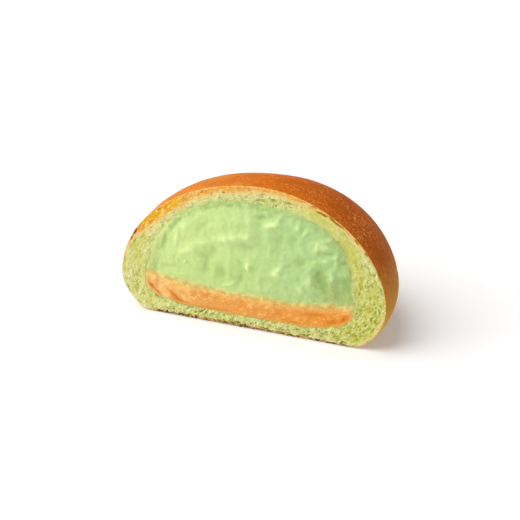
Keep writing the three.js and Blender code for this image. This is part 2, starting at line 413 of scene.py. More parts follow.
def pits(places, span, seed):
    """Round pits about span apart: 0 between them, and up to 1 at the bottom of the deepest ones."""
    random = np.random.default_rng(seed)
    middles = random.random((NOISE_CELLS, 3))
    depths = random.random(NOISE_CELLS)
    shuffle = random.permutation(NOISE_CELLS)
    scaled = places / np.asarray(span)
    cells = np.floor(scaled).astype(int)
    deepest = np.zeros(len(places))
    for step in product((-1, 0, 1), repeat=3):
        numbers = cell_numbers(cells + step, shuffle)
        away = np.linalg.norm(cells + step + middles[numbers] - scaled, axis=1)
        deepest = np.maximum(deepest, depths[numbers] * rise(PIT_REACH, 0, away))
    return deepest


def waves(points, layers, rightward=0.0):
    """Layers of noise added up. rightward goes from 0 on the left to 1 on the right."""
    total = np.zeros(len(points))
    for height, span, seed in layers:
        total += mix(*np.broadcast_to(height, 2), rightward) * noise(points, span, seed)
    return total


def change(points, row):
    """How far a change has come at each point, up to its amount or 1."""
    share = row.get("by", 1.0)
    for axis, name in enumerate("xyz"):
        if name in row:
            share = share * rise(*row[name], points[:, axis])
    return share


def rounded(depth, width, distance):
    """How far an edge is rounded off at a distance from it."""
    return depth * rise(width, 0, distance)


def on_cut(points):
    """Points moved straight onto the cut."""
    return points * [1, 0, 1]


def marks_at(points, marks):
    """The strength of marks on the cut at each point, added up."""
    total = np.zeros(len(points))
    for middle_x, middle_z, turn, length, width, strength in marks:
        cosine = math.cos(math.radians(turn))
        sine = math.sin(math.radians(turn))
        across_x = points[:, 0] - middle_x
        across_z = points[:, 2] - middle_z
        along = (across_x * cosine + across_z * sine) / length
        aside = (across_z * cosine - across_x * sine) / width
        total += strength * np.exp(-(along**2) - aside**2)
    return total


def round_the_cut(points):
    """What the rows of the rim say at each point's direction from the middle of the cut, by column."""
    turns, *columns = np.array(RIM_ROWS).T
    turn = np.degrees(np.arctan2(points[:, 2] - CUT_MIDDLE[1], points[:, 0] - CUT_MIDDLE[0]))
    named = zip(RIM_COLUMNS[1:], columns)
    return {name: np.interp(turn, turns, values, period=360) for name, values in named}


# Lumps and their outlines


def between(lump, key, share):
    """A value that a lump has on its left (share 0) and its right (share 1)."""
    return mix(*lump[key], share)


def depth_of(lump):
    """How far a lump reaches back from the cut."""
    cosines = np.linspace(-1, 1, DENSE)
    reach = between(lump, "reach", (1 + cosines) / 2)
    return (reach * np.sqrt(1 - cosines**2)).max() * lump["depth_ratio"]


def grown(lump, by):
    """A lump whose skin lies further out."""
    left, right = lump["reach"]
    return {**lump, "crown": lump["crown"] + by, "foot": lump["foot"] - by, "reach": (left + by, right + by)}


def inside(lump, x, y, z):
    """Whether places lie inside a lump."""
    across = x - lump["axis"]
    radius = np.hypot(across, y / lump["depth_ratio"])
    share = (1 + across / np.maximum(radius, MM)) / 2
    reach = between(lump, "reach", share)
    flank = between(lump, "flank", share)
    foot_reach = between(lump, "foot_reach", share)
    shoulder_power = between(lump, "shoulder_power", share)
    heel_power = between(lump, "heel_power", share)
    up = np.clip((z - flank) / (lump["crown"] - flank), 0, 1)
    down = np.clip((flank - z) / (flank - lump["foot"]), 0, 1)
    shoulder = reach * (1 - up**shoulder_power) ** (1 / shoulder_power)
    heel = foot_reach + (reach - foot_reach) * (1 - down**heel_power) ** (1 / heel_power)
    skin = np.where(z > flank, shoulder, heel)
    return (radius < skin) & (z > lump["foot"]) & (z < lump["crown"])


def outline(lump, depth):
    """A lump's outline at a depth behind the cut, as close points from the lowest one round by the right."""
    angles = np.linspace(-np.pi / 2, 1.5 * np.pi, DENSE)
    left, right = lump["reach"]
    middle_x = lump["axis"] + (right - left) / 2
    middle_z = between(lump, "flank", 0.5)
    near = np.zeros(DENSE)
    far = np.full(DENSE, FAR)
    for _ in range(HALVINGS):
        half = (near + far) / 2
        within = inside(lump, middle_x + half * np.cos(angles), depth, middle_z + half * np.sin(angles))
        near = np.where(within, half, near)
        far = np.where(within, far, half)
    x = middle_x + near * np.cos(angles)
    z = middle_z + near * np.sin(angles)
    return np.stack([x, np.full(DENSE, float(depth)), z], axis=1)


def length_along(points):
    """The distance of each point from the first, along a line of points."""
    steps = np.linalg.norm(np.diff(points, axis=0), axis=1)
    return np.concatenate([[0], np.cumsum(steps)])


def evenly(points, count):
    """A line of points spaced evenly again, ends included."""
    along = length_along(points)
    places = np.linspace(0, along[-1], count)
    return np.stack([np.interp(places, along, points[:, axis]) for axis in range(3)], axis=1)


def even_loop(points, count):
    """A closed outline as evenly spaced points, without its first point again at the end."""
    return evenly(points, count + 1)[:-1]


def wobble(points):
    """Moves points of the hollow's wall in and out, so that its edge at the cut is uneven."""
    outward = on_cut(points - [HOLLOW["axis"], 0, between(HOLLOW, "flank", 0.5)])
    outward /= np.linalg.norm(outward, axis=1, keepdims=True)
    shift = waves(on_cut(points), WALL_WAVES, change(points, WALL_UNEVEN))
    return points + outward * shift[:, None]


def spring_back(points):
    """Lifts the bun's left shoulder, which springs back up behind the cut."""
    points[:, 2] += change(points, SPRING)
    return points


# Meshes


class Skin:
    """The points and faces of one closed mesh, put together loop by loop."""

    def __init__(self):
        self.blocks = []
        self.faces = []
        self.looks = []
        self.size = 0

    def add(self, points):
        numbers = self.size + np.arange(len(points))
        self.blocks.append(points)
        self.size += len(points)
        return numbers

    def cover(self, faces, look):
        self.faces += faces
        self.looks += [look] * len(faces)

    def strip(self, first, second, look):
        """Faces from one closed loop to the next."""
        if len(first) == len(second):
            corners = [first, second, np.roll(second, -1), np.roll(first, -1)]
            self.cover(np.stack(corners, axis=1).tolist(), look)
        else:
            self.cover(zip_loops(first, second), look)

    def points(self):
        return np.vstack(self.blocks)


def zip_loops(first, second):
    """Triangles between closed loops that start at the same place and differ in their number of points."""
    triangles = []
    i = 0
    j = 0
    while i < len(first) or j < len(second):
        here = first[i % len(first)]
        there = second[j % len(second)]
        first_is_behind = (i + 1) * len(second) <= (j + 1) * len(first)
        if j == len(second) or (i < len(first) and first_is_behind):
            i += 1
            ahead = first[i % len(first)]
        else:
            j += 1
            ahead = second[j % len(second)]
        if ahead not in (here, there):
            triangles.append((int(here), int(there), int(ahead)))
    return triangles


def make_piece(name, skin, points, materials, marks):
    """A smooth object of a skin's faces. marks maps names to a value for each point."""
    mesh = bpy.data.meshes.new(name)
    mesh.from_pydata(to_frame(points), [], skin.faces)
    mesh.polygons.foreach_set("material_index", np.array(skin.looks, dtype=np.int32))
    mesh.shade_smooth()
    for mark, values in marks.items():
        mesh.attributes.new(mark, "FLOAT", "POINT").data.foreach_set("value", values.astype(np.float32))
    for material in materials:
        mesh.materials.append(material)
    piece = bpy.data.objects.new(name, mesh)
    bpy.context.scene.collection.objects.link(piece)
    return piece


def skin_normals(skin, points):
    """The outward direction at each point of a skin."""
    mesh = bpy.data.meshes.new("normals")
    mesh.from_pydata(points, [], skin.faces)
    normals = np.empty(len(points) * 3, dtype=np.float32)
    mesh.vertex_normals.foreach_get("vector", normals)
    bpy.data.meshes.remove(mesh)
    return normals.reshape(-1, 3)


# The bread


def back_point(lump, loop):
    """One point at the back of a lump, behind the middle of a loop."""
    return on_cut(loop.mean(axis=0, keepdims=True)) + [0, depth_of(lump), 0]


def outside_loops(first_count):
    """The bread's outside as loops from just behind the cut to the back. They are closest at the cut."""
    turns = np.linspace(0, 1, OUTSIDE_LOOPS) ** OUTSIDE_CROWDING
    depth = depth_of(BUN)
    loops = []
    count = first_count
    for turn in turns[1:-1]:
        dense = spring_back(outline(BUN, depth * math.sin(turn * math.pi / 2)))
        wanted = int(length_along(dense)[-1] / OUTSIDE_SPACING)
        if wanted < LOOP_SLACK * count:
            count = max(wanted, int(count * LEAST_NEXT_LOOP))
        loops.append(even_loop(dense, count))
    return loops + [back_point(BUN, loops[-1])]


def hollow_loops():
    """The hollow's wall as loops from its back to just behind the cut."""
    depth = depth_of(HOLLOW)
    loops = []
    for turn in np.linspace(1, 0, HOLLOW_LOOPS)[1:-1]:
        dense = outline(HOLLOW, depth * math.sin(turn * math.pi / 2))
        loops.append(even_loop(dense, int(length_along(dense)[-1] / HOLLOW_SPACING)))
    return [back_point(HOLLOW, loops[0])] + loops


def crumb_relief(points, openness, along, from_edge, from_hollow):
    """How far the cut crumb lies behind the cut, and how deep in a pore each place is, from 0 to 1, which is
    painted as shade. along is the distance round the rim, which the crumb's fibres follow."""
    radius = along.max() / (2 * np.pi)
    turn = along / radius
    fibre_places = np.stack([radius * np.cos(turn), radius * np.sin(turn), from_edge * FIBRE_STRETCH], axis=1)
    slanted = np.stack([points[:, 0] - points[:, 2], points[:, 1], points[:, 0] + points[:, 2]], axis=1)
    streaks = mix(noise(fibre_places, *FIBRES), noise(slanted, *SLANTS), change(points, CRUMB_SLANTED))
    strokes = np.clip(STROKE_GAIN * streaks - STROKE_START, 0, 1)
    wide = pits(fibre_places * [1, 1, WIDE_SQUEEZE], *WIDE_PITS)
    small = pits(points, *SMALL_PITS)
    clumped = openness * mix(*CLUMP_OPEN, rise(*CLUMP_NOISE, noise(points, *CLUMPS)))
    marked = np.clip(marks_at(points, CRUMB_PORES), 0, 1)
    swell = waves(points, CRUMB_WAVES) + STREAK_SWELL * streaks
    pores = PORE_DEPTH["wide"] * wide + PORE_DEPTH["small"] * small + PORE_DEPTH["stroke"] * strokes
    depth = clumped * pores + PORE_DEPTH["marked"] * marked
    rounding = rounded(*LIP_ROUNDING, from_hollow) + rounded(*RIM_ROUNDING, from_edge)
    inner = rise(*PORES_FROM_RIM, from_edge)
    # Painted shade in the pits and strokes.
    dark = clumped * np.maximum.reduce([PORE_SHADE["wide"] * wide, PORE_SHADE["small"] * small, strokes])
    return inner * (depth + swell) + rounding, np.maximum(dark, marked)


def lip_openness(points, from_hollow):
    """What the crumb's openness is multiplied by: less beside the hollow on the right."""
    at_lip = mix(*LIP_OPEN, change(points, LIP_RIGHT))
    return mix(at_lip, PAST_LIP_OPEN, rise(0, LIP_WIDTH, from_hollow))


def crumb_tint(points, yellow):
    """How yellow the crumb is, with streaks that stand up on the left and patches elsewhere."""
    tints = waves(points, TINT_WAVES, change(points, CRUMB_PATCHY))
    return yellow + tints + marks_at(points, CRUMB_TINTS)


def outside_relief(points):
    """How far the crust stands out: broad waves, and fine wrinkles like orange peel. It sags a little from
    the crown towards the flank."""
    sag = CRUST_LIFT + change(points, CRUST_SAG)
    return change(points, CRUST_RELIEF) * (waves(points, CRUST_WAVES) + sag)


def base_fray(points):
    """How far the front edge of the base is frayed upwards."""
    return change(points, BASE_FRAY) * (FRAY_HEIGHT + waves(points, FRAY_WAVES))


def bake_of(points):
    """How far the crust is baked: pale at the heel, more above."""
    return rise(*BAKED_Z, points[:, 2] + waves(points, BAKE_WAVES))


def browning_and_shade_of(points):
    """How brown the baked crust is: more to the right, partly real browning and partly painted shade away
    from the light, but less just behind the cut there.
    """
    rightward = change(points, BROWNED_AND_SHADED)
    return rightward - rightward * change(points, PALER_AT_CUT) + waves(points, BROWN_WAVES)


def burnt_of(points):
    """Where the crust is burnt: a thin stretch of the cut's left edge."""
    return np.clip(marks_at(points, BURNT_MARKS), 0, 1) * change(points, BURNT)


def bread_piece():
    skin = Skin()
    rim = even_loop(outline(BUN, 0), RIM_POINTS)
    lip = wobble(even_loop(outline(HOLLOW, 0), RIM_POINTS))
    shares = np.linspace(0, 1, RING_LOOPS + 1)
    wall = hollow_loops()
    ring = [mix(lip, rim, share) for share in shares]
    loops = [skin.add(points) for points in wall + ring + outside_loops(RIM_POINTS)]
    outside_start = len(wall) + len(ring)
    for place in range(1, len(loops)):
        look = CRUMB_LOOK if place < outside_start else CRUST_LOOK
        skin.strip(loops[place - 1], loops[place], look)
    points = skin.points()

    cut = slice(loops[len(wall)][0], loops[outside_start][0])
    width = np.tile(np.linalg.norm(rim - lip, axis=1), len(ring))
    share = np.repeat(shares, RIM_POINTS)
    from_edge = np.zeros(len(points))
    from_edge[: cut.start] = FAR
    from_edge[cut] = (1 - share) * width
    from_hollow = np.zeros(len(points))
    from_hollow[cut] = share * width
    along = np.tile(length_along(np.vstack([rim, rim[:1]]))[:-1], len(ring))
    marks = round_the_cut(points)
    marks["open"] *= lip_openness(points, from_hollow)
    push, pore = crumb_relief(points[cut], marks["open"][cut], along, from_edge[cut], from_hollow[cut])

    moved = points.copy()
    outside = slice(cut.stop, None)
    moved[outside] += (skin_normals(skin, points) * outside_relief(points)[:, None])[outside]
    moved[cut, 1] += push
    moved[:, 2] = np.maximum(moved[:, 2] + base_fray(points), 0)
    marks["edge"] = from_edge
    marks["lip"] = from_hollow
    marks["pore"] = np.zeros(len(points))
    marks["pore"][cut] = pore
    marks["dash"] = np.clip(marks_at(points, BROWN_DASHES), 0, 1)
    marks["shade"] = change(points, WALL_SHADE)
    marks["yellow"] = crumb_tint(points, marks["yellow"])
    marks["under"] = change(points, UNDERSIDE)
    marks["bake"] = bake_of(points)
    marks["brown"] = browning_and_shade_of(points)
    marks["speckled"] = marks_at(points, GLINT_MARKS)
    marks["burnt"] = burnt_of(points)
    return make_piece("bread_half", skin, moved, [crust_material(), crumb_material()], marks)


# The fillings


def across_hollow(x):
    """How far places are from the hollow's axis, as a share of its reach on their side."""
    left, right = HOLLOW["reach"]
    return (x - HOLLOW["axis"]) / np.where(x < HOLLOW["axis"], left, right)


def bed_top(x, y):
    """The height of the bed of apricot cream, a little wavy."""
    share = np.clip(np.hypot(across_hollow(x), y / depth_of(HOLLOW)), 0, 1)
    places = np.stack([x, y, np.zeros_like(x)], axis=1)
    return BED_HEIGHT + BED_RIM_RISE * share**BED_RIM_POWER + waves(places, BED_WAVES)


def filling_sides(side, depth):
    """The lower and upper line round a filling on one side of the seam, from the left, at a depth."""
    wall = wobble(outline(grown(HOLLOW, REACH_IN), depth)[:-1])
    overlap = -side * BED_OVERLAP
    above = wall[:, 2] > bed_top(wall[:, 0], wall[:, 1]) + overlap
    over = wall[above][::-1]
    start = np.flatnonzero(above)[-1] + 1
    under = np.roll(wall, -start, axis=0)[: len(wall) - above.sum()]
    x = np.linspace(over[0, 0], over[-1, 0], DENSE // 2)
    y = np.full_like(x, depth)
    bed = np.stack([x, y, bed_top(x, y) + overlap], axis=1)
    if side == OVER_SEAM:
        return bed, np.vstack([bed[:1], over, bed[-1:]])
    return np.vstack([bed[:1], under, bed[-1:]]), bed


def filling_skin(side, grid):
    """A closed skin: a grid of points over the cut, and loops from its edge to the back of the hollow. Also
    gives the number of points over the cut, which come first."""
    columns = grid["columns"]
    rows = grid["rows"]
    skin = Skin()
    lower, upper = (evenly(line, columns + 1) for line in filling_sides(side, 0.0))
    up = np.linspace(0, 1, rows + 1)
    face = mix(lower[None], upper[None], up[:, None, None])
    corners = skin.add(face[0, [0, -1]])
    inner = skin.add(face[:, 1:-1].reshape(-1, 3)).reshape(rows + 1, columns - 1)
    ends = np.ones((rows + 1, 1), dtype=int)
    numbers = np.hstack([corners[0] * ends, inner, corners[1] * ends])
    quads = np.stack([numbers[:-1, :-1], numbers[:-1, 1:], numbers[1:, 1:], numbers[1:, :-1]], axis=-1)
    skin.cover([tuple(dict.fromkeys(quad)) for quad in quads.reshape(-1, 4).tolist()], 0)
    face_size = skin.size
    loop = np.concatenate([numbers[-1, ::-1], numbers[0, 1:-1]])
    for depth in np.linspace(HOLLOW_SPACING, FILLING_DEPTH_SHARE * depth_of(HOLLOW), FILLING_LOOPS):
        lower, upper = (evenly(line, columns + 1) for line in filling_sides(side, depth))
        behind = skin.add(np.vstack([upper[::-1], lower[1:-1]]))
        skin.strip(loop, behind, 0)
        loop = behind
    back = skin.add(np.vstack([upper, lower]).mean(axis=0, keepdims=True))
    skin.strip(loop, back, 0)
    return skin, face_size


def wall_share(points):
    """How far places on the cut are from the hollow's middle, as a share of the way to its wall."""
    middle = (HOLLOW["crown"] + HOLLOW["foot"]) / 2
    above = (points[:, 2] - middle) / (HOLLOW["crown"] - middle)
    return np.clip(np.hypot(across_hollow(points[:, 0]), above), 0, 1)


def from_wall(points):
    """How far places on the cut are from the hollow's wall."""
    wall = wobble(outline(grown(HOLLOW, REACH_IN), 0))[:, [0, 2]]
    nearest = np.full(len(points), FAR)
    for stretch in np.array_split(wall, WALL_STRETCHES):
        gaps = np.linalg.norm(points[:, None, [0, 2]] - stretch[None], axis=2)
        nearest = np.minimum(nearest, gaps.min(axis=1))
    return nearest


def green_relief(points):
    """How far the green cream's lumps, streaks and marks stand out. It is smoother on the left."""
    lumps = waves(points, GREEN_WAVES, change(points, GREEN_UNEVEN))
    return lumps + marks_at(points - MARK_SHIFT, GREEN_MARKS)


def apricot_relief(points):
    """How far the apricot cream's lumps, grains and streaks stand out. Its marks lie deeper."""
    return waves(points, APRICOT_WAVES) - APRICOT_MARK_DEPTH * marks_at(points, APRICOT_MARKS)


def filling_piece(name, side, grid, relief, material):
    """A filling on one side of the seam, with its relief at the cut."""
    skin, face_size = filling_skin(side, grid)
    points = skin.points()
    face = points[:face_size]
    at_wall = from_wall(face)
    over_bed = points[:, 2] - bed_top(points[:, 0], points[:, 1])
    at_bed = np.abs(over_bed[:face_size])
    leftward = change(face, FACE_LEFT)
    sink = mix(RIGHT_SINK_SHARE, 1.0, leftward)
    base = mix(-FACE_SWELL, FACE_SINK * sink, wall_share(face) ** FACE_SWELL_POWER)
    curl = sink * rounded(*CURL, at_wall)
    standing = relief(face)
    calm_start = mix(CALM_WALL["right_start"], 0, leftward)
    free = rise(calm_start, CALM_WALL["end"], at_wall) * rise(0, CALM_SEAM, at_bed)
    frayed = side * waves(face, SEAM_WAVES) * rise(*FRAYED_SEAM, at_bed)
    # Where the strip of painted shade inside the wall lies.
    strip = at_wall - sum(change(face, wider) for wider in SHADE_STRIP_WIDER)
    behind = np.zeros(len(points) - face_size)
    marks = {
        "over_bed": over_bed + change(points, SEAM_LIFT),
        "from_wall": np.concatenate([at_wall, behind]),
        "strip": np.concatenate([strip, behind]),
        "standing": np.concatenate([standing, behind]),
        "rightward": change(points, CREAM_RIGHT),
        "low": change(points, CREAM_LOW),
        "deep": np.clip(marks_at(points, APRICOT_MARKS), 0, 1),
    }
    points[:face_size, 1] = base + curl - standing * free - frayed
    return make_piece(name, skin, points, [material], marks)


# Materials


def srgb(red, green, blue):
    """A colour of a screen, 0 to 255, as a linear colour for a shader."""
    values = np.array([red, green, blue]) / 255
    linear = np.where(values <= 0.04045, values / 12.92, ((values + 0.055) / 1.055) ** 2.4)
    return (*linear.tolist(), 1.0)


def add(tree, kind, inputs=None, **settings):
    """A new node. inputs maps sockets to values, or to outputs of other nodes."""
    made = tree.nodes.new(kind)
    for key, value in settings.items():
        setattr(made, key, value)
    for key, value in (inputs or {}).items():
        if isinstance(value, bpy.types.NodeSocket):
            tree.links.new(value, made.inputs[key])
        else:
            made.inputs[key].default_value = value
    return made


def mark(tree, name):
    """The value of a piece's mark."""
    return add(tree, "ShaderNodeAttribute", attribute_name=name).outputs["Fac"]


def grain(tree, span, detail=3.0, turn=0.0, swirl=0.0):
    """Noise from 0 to 1 with waves about span millimetres long, fixed to the piece. Three spans, along x, y
    and z, stretch it. A turn, in degrees from x, lays it aslant on the cut, and a swirl distorts it."""
    place = add(tree, "ShaderNodeTexCoord").outputs["Object"]
    spans = np.broadcast_to(span, 3) * MM
    inputs = {"Vector": place, "Scale": spans, "Rotation": (0, -math.radians(turn), 0)}
    scaled = add(tree, "ShaderNodeMapping", inputs, vector_type="TEXTURE").outputs["Vector"]
    inputs = {"Vector": scaled, "Scale": 1.0, "Detail": detail, "Distortion": swirl}
    return add(tree, "ShaderNodeTexNoise", inputs).outputs["Fac"]


def band(tree, value, start, end):
    """A value's way from start to end as a share from 0 to 1, eased at both ends."""
    inputs = {"Value": value, "From Min": start, "From Max": end}
    return add(tree, "ShaderNodeMapRange", inputs, interpolation_type="SMOOTHSTEP").outputs["Result"]


def math_of(tree, operation, *values):
    """Arithmetic on one to three values."""
    return add(tree, "ShaderNodeMath", dict(enumerate(values)), operation=operation).outputs["Value"]


def ragged(tree, value, span, spread):
    """A value with noise added, so that the bands made from it get ragged edges."""
    shift = math_of(tree, "MULTIPLY_ADD", grain(tree, span), 2 * spread, -spread)
    return math_of(tree, "ADD", value, shift)


def blend(tree, share, first, second):
    """Two colours mixed by a share."""
    return add(tree, "ShaderNodeMix", {0: share, 6: first, 7: second}, data_type="RGBA").outputs[2]


def both(tree, first, second):
    """The product of two values, such as shares."""
    return math_of(tree, "MULTIPLY", first, second)


def bump(tree, height, distance):
    """A normal for relief of that height in millimetres."""
    inputs = {"Height": height, "Distance": distance * MM, "Strength": 1.0}
    return add(tree, "ShaderNodeBump", inputs).outputs["Normal"]


def new_material(name):
    """A material without nodes, and its node tree."""
    material = bpy.data.materials.new(name)
    material.use_nodes = True
    material.node_tree.nodes.clear()
    return material, material.node_tree


def finish_material(tree, **inputs):
    """The shader that ends a material. Words in the inputs' names are joined by underscores."""
    sockets = {key.replace("_", " "): value for key, value in inputs.items()}
    shader = add(tree, "ShaderNodeBsdfPrincipled", sockets)
    add(tree, "ShaderNodeOutputMaterial", {"Surface": shader.outputs["BSDF"]})


CRUST_HEEL = srgb(228, 186, 106)
CRUST_GOLDEN = srgb(211, 148, 50)
CRUST_PALE = srgb(212, 130, 48)
CRUST_AMBER = srgb(211, 107, 12)
CRUST_BROWN = srgb(194, 92, 10)
CRUST_GLINT = srgb(244, 154, 80)
CRUST_FLAW = srgb(146, 62, 10)
CRUST_UNDER = srgb(166, 102, 42)
CRUST_BASE = srgb(96, 52, 12)
CRUST_BURNT = srgb(136, 66, 6)
RIM_PEACH = srgb(250, 208, 136)
RIM_CREAM = srgb(232, 207, 142)
RIM_GOLD = srgb(236, 180, 22)
RIM_ORANGE = srgb(234, 150, 40)
RIM_BROWN = srgb(162, 120, 22)
CRUMB_PEACH = srgb(238, 208, 134)
CRUMB_PALE = srgb(226, 223, 156)
CRUMB_YELLOW = srgb(207, 205, 97)
CRUMB_LIGHT = srgb(240, 238, 174)
CRUMB_GAP_AND_PORE_SHADE = srgb(148, 154, 36)
CRUMB_MOIST = srgb(205, 217, 139)
GREEN_PAINTED_HIGHLIGHT = srgb(232, 248, 172)
GREEN_BODY = srgb(208, 230, 146)
GREEN_COOL_SHADED = srgb(182, 214, 140)
GREEN_PAINTED_SHADE = srgb(160, 188, 106)
OLIVE_PAINTED_SHADE = srgb(178, 192, 118)
SEAM_PALE = srgb(234, 219, 134)
SEAM_TAN = srgb(212, 182, 98)
APRICOT_PALE = srgb(253, 208, 132)
APRICOT_BODY = srgb(234, 166, 86)
APRICOT_RICH = srgb(238, 154, 56)
APRICOT_DEEP = srgb(216, 120, 20)
FLOOR_DULL = srgb(228, 228, 228)
FLOOR_BRIGHT = srgb(232, 232, 232)
WHITE = (1, 1, 1, 1)


def burnt_over(tree, colour):
    """A colour with the burnt stretch of the cut's edge laid over it."""
    return blend(tree, band(tree, mark(tree, "burnt"), 0.2, 0.7), colour, CRUST_BURNT)


def crust_material():
    material, tree = new_material("crust")
    brown = mark(tree, "brown")
    # Paler on the left and browner to the right: partly real browning, partly painted light and shade.
    baked = blend(tree, band(tree, brown, 0.0, 0.5), CRUST_PALE, CRUST_AMBER)
    baked = blend(tree, band(tree, brown, 0.5, 1.0), baked, CRUST_BROWN)
    bake = mark(tree, "bake")
    colour = blend(tree, band(tree, bake, -0.05, 0.28), CRUST_HEEL, CRUST_GOLDEN)
    colour = blend(tree, band(tree, bake, 0.25, 1.0), colour, baked)
    underside = blend(tree, band(tree, grain(tree, 3.5, detail=6.0), 0.3, 0.75), CRUST_UNDER, CRUST_FLAW)
    under = ragged(tree, mark(tree, "under"), 1.5, 0.3)
    colour = blend(tree, band(tree, under, 0.3, 0.9), colour, underside)
    mottled = both(tree, band(tree, grain(tree, 4.0, detail=6.0), 0.6, 0.3), 0.3)
    flaws = both(tree, band(tree, grain(tree, 0.8, detail=2.0), 0.48, 0.3), band(tree, brown, -0.4, 1.0))
    flaws = both(tree, bake, math_of(tree, "MAXIMUM", mottled, flaws))
    colour = blend(tree, both(tree, flaws, 0.7), colour, CRUST_FLAW)
    # Pale specks in patches: painted glints of tiny blisters catching the light.
    patches = math_of(tree, "MULTIPLY_ADD", band(tree, grain(tree, 5.0), 0.38, 0.62), 0.45, 0.12)
    patches = math_of(tree, "MAXIMUM", both(tree, bake, patches), mark(tree, "speckled"))
    glints = band(tree, grain(tree, (0.7, 0.9, 2.0), detail=2.0, turn=-35, swirl=1.2), 0.52, 0.61)
    colour = blend(tree, both(tree, patches, glints), colour, CRUST_GLINT)
    finish_material(
        tree,
        Base_Color=burnt_over(tree, colour),
        Roughness=0.6,
        Specular_IOR_Level=0.04,
        Normal=bump(tree, grain(tree, 0.8, detail=4.0), 0.1),
    )
    return material


def crumb_body(tree):
    """The colour of the crumb away from its crust, with painted shade in its pores and beside the cream on
    the right.
    """
    openness = mark(tree, "open")
    tint = ragged(tree, mark(tree, "yellow"), 1.0, 0.4)
    body = blend(tree, band(tree, tint, 0.0, 1.0), CRUMB_PALE, CRUMB_YELLOW)
    moist = both(tree, mark(tree, "moist"), band(tree, ragged(tree, mark(tree, "lip"), 1.2, 1.6), 2.6, 0.2))
    body = blend(tree, moist, body, CRUMB_MOIST)
    # Painted olive shade on the crumb beside the cream on the right.
    shaded = both(tree, mark(tree, "shade"), band(tree, ragged(tree, mark(tree, "lip"), 1.5, 0.6), 1.8, -0.4))
    body = blend(tree, shaded, body, OLIVE_PAINTED_SHADE)
    clumps = math_of(tree, "MULTIPLY_ADD", band(tree, grain(tree, 2.2), 0.4, 0.58), 0.9, 0.4)
    rough = both(tree, openness, clumps)
    strokes = grain(tree, (1.3, 0.8, 0.65), detail=4.0, turn=58, swirl=1.0)
    body = blend(tree, both(tree, rough, band(tree, strokes, 0.52, 0.65)), body, CRUMB_LIGHT)
    # Pores get painted shade; the dark gaps between the light strokes are the crumb's own colour.
    gaps = both(tree, band(tree, openness, 0.3, 1.0), band(tree, strokes, 0.46, 0.34))
    dark = math_of(tree, "MAXIMUM", mark(tree, "pore"), both(tree, clumps, gaps))
    return blend(tree, dark, body, CRUMB_GAP_AND_PORE_SHADE)


def golden_band(tree, edge, colour):
    """A colour with the golden band of cut crust laid over it, mottled and fading into peach."""
    gold = both(tree, mark(tree, "gold"), math_of(tree, "MULTIPLY_ADD", grain(tree, 2.6), 1.6, 0.2))
    past_gold = math_of(tree, "SUBTRACT", edge, gold)
    peachy = both(tree, band(tree, past_gold, 1.6, -0.4), band(tree, gold, 0.2, 0.9))
    colour = blend(tree, peachy, colour, CRUMB_PEACH)
    thin = band(tree, mark(tree, "gold"), 3.2, 2.6)
    orange = band(tree, grain(tree, (3.2, 2.0, 1.6), turn=40), 0.44, 0.62)
    orange = math_of(tree, "MULTIPLY_ADD", thin, 0.6, orange)
    mottled = blend(tree, orange, RIM_GOLD, RIM_ORANGE)
    strands = band(tree, grain(tree, (1.7, 1.1, 0.65), turn=40, swirl=0.6), 0.51, 0.66)
    strands = math_of(tree, "MULTIPLY_ADD", thin, 0.15, strands)
    mottled = blend(tree, strands, mottled, CRUMB_PEACH)
    dots = both(tree, band(tree, grain(tree, 2.0), 0.5, 0.62), band(tree, grain(tree, 0.7), 0.46, 0.36))
    mottled = blend(tree, both(tree, dots, 0.5), mottled, RIM_BROWN)
    fading = ragged(tree, past_gold, 0.8, 0.8)
    return blend(tree, band(tree, fading, 0.5, -1.2), colour, mottled)


def base_crust(tree, edge, colour):
    """A colour with the dark, dotted crust of the base laid over it."""
    base = mark(tree, "base")
    flecks = band(tree, ragged(tree, edge, 0.5, 1.0), 2.2, 0.8)
    flecks = both(tree, flecks, band(tree, grain(tree, 0.6), 0.52, 0.62))
    colour = blend(tree, both(tree, base, flecks), colour, RIM_BROWN)
    crust = both(tree, base, band(tree, ragged(tree, edge, 0.8, 0.8), 1.6, 0.7))
    tan = both(tree, crust, band(tree, grain(tree, 1.6), 0.4, 0.56))
    colour = blend(tree, both(tree, tan, 0.8), colour, CRUST_PALE)
    clumps = math_of(tree, "MULTIPLY_ADD", base, 1.5, -0.8)
    clumps = math_of(tree, "ADD", clumps, band(tree, grain(tree, 2.4), 0.44, 0.58))
    dark = both(tree, both(tree, crust, clumps), band(tree, grain(tree, 0.7), 0.38, 0.52))
    return blend(tree, dark, colour, CRUST_BASE)


def rim_colour(tree, body):
    """The crumb's colour with the cut crust along the rim laid over it."""
    edge = ragged(tree, mark(tree, "edge"), 0.8, 0.3)
    colour = golden_band(tree, edge, body)
    pale = mark(tree, "pale")
    near_edge = band(tree, ragged(tree, edge, 1.8, 0.6), both(tree, pale, 1.4), both(tree, pale, 0.4))
    pale_line = both(tree, near_edge, band(tree, grain(tree, 1.4), 0.38, 0.56))
    pale_tone = blend(tree, band(tree, pale, 0.9, 1.3), RIM_PEACH, RIM_CREAM)
    colour = blend(tree, both(tree, pale, pale_line), colour, pale_tone)
    colour = blend(tree, band(tree, ragged(tree, mark(tree, "dash"), 0.5, 0.5), 0.2, 0.6), colour, RIM_BROWN)
    crust_line = both(tree, band(tree, edge, 0.9, 0.2), band(tree, grain(tree, 0.8), 0.48, 0.58))
    colour = blend(tree, both(tree, mark(tree, "line"), crust_line), colour, RIM_ORANGE)
    return base_crust(tree, edge, colour)


def crumb_material():
    material, tree = new_material("crumb")
    colour = rim_colour(tree, crumb_body(tree))
    finish_material(
        tree,
        Base_Color=burnt_over(tree, colour),
        Roughness=0.8,
        Specular_IOR_Level=0.15,
        Normal=bump(tree, grain(tree, 0.45, detail=3.0), 0.1),
    )
    return material


